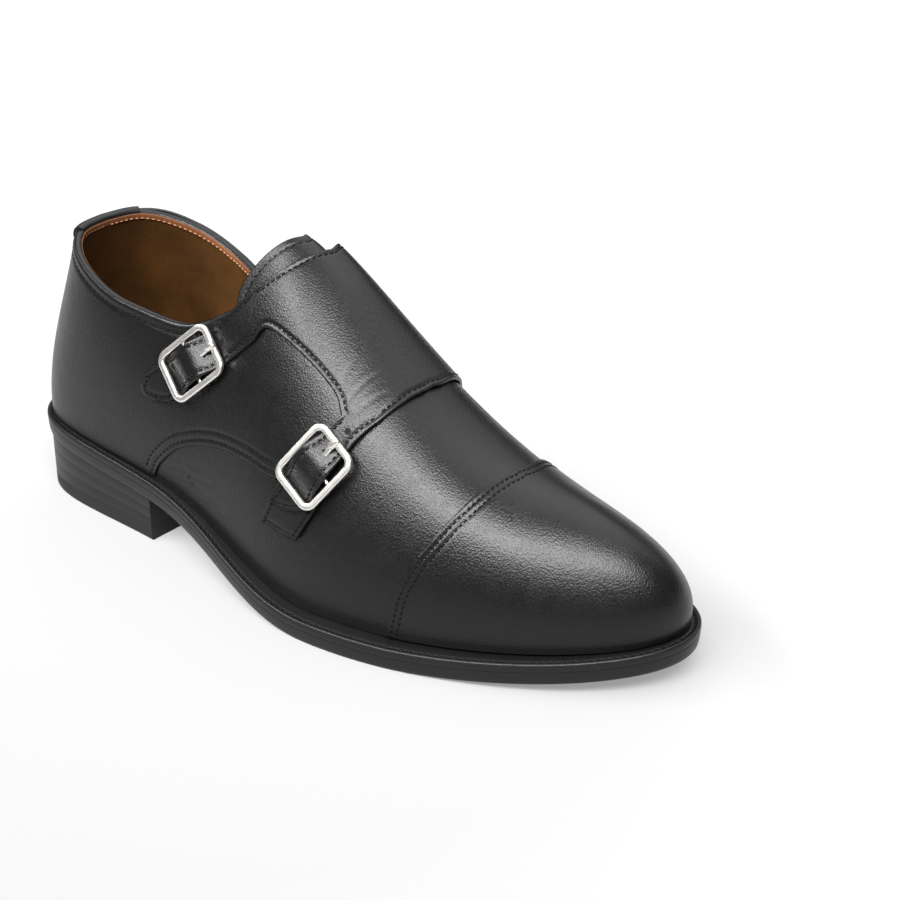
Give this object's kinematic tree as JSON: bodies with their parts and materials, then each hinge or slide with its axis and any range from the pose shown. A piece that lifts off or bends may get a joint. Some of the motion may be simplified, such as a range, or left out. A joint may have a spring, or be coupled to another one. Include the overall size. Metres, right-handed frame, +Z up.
{
  "type": "monk strap shoe",
  "caption": "Black calf double monk strap shoe for the right foot, with a cap toe, welted sole and stacked heel.",
  "frame": {"origin": "on the floor, under the back of the heel", "axes": "+X from heel to toe, +Y to the inner side of the foot, +Z up"},
  "size_m": [0.3006, 0.1067, 0.131],
  "materials": {
    "calf": "black box calf, semi gloss",
    "sole_edge": "blacked leather edge, waxed",
    "rubber": "matt black rubber",
    "footbed": "tan leather",
    "steel": "polished"
  },
  "bodies": {
    "root": {"outsole": "sole_edge", "welt": "sole_edge", "heel_stack": "sole_edge", "heel_top_piece": "rubber", "insole": "footbed", "upper": "calf", "toe_cap": "calf", "back_stay": "calf", "tongue": "calf", "inner_quarter_with_straps": "calf", "buckle_upper": "steel", "buckle_lower": "steel", "prong_upper": "steel", "prong_lower": "steel", "keeper_upper": "calf", "keeper_lower": "calf"}
  },
  "joints": []
}
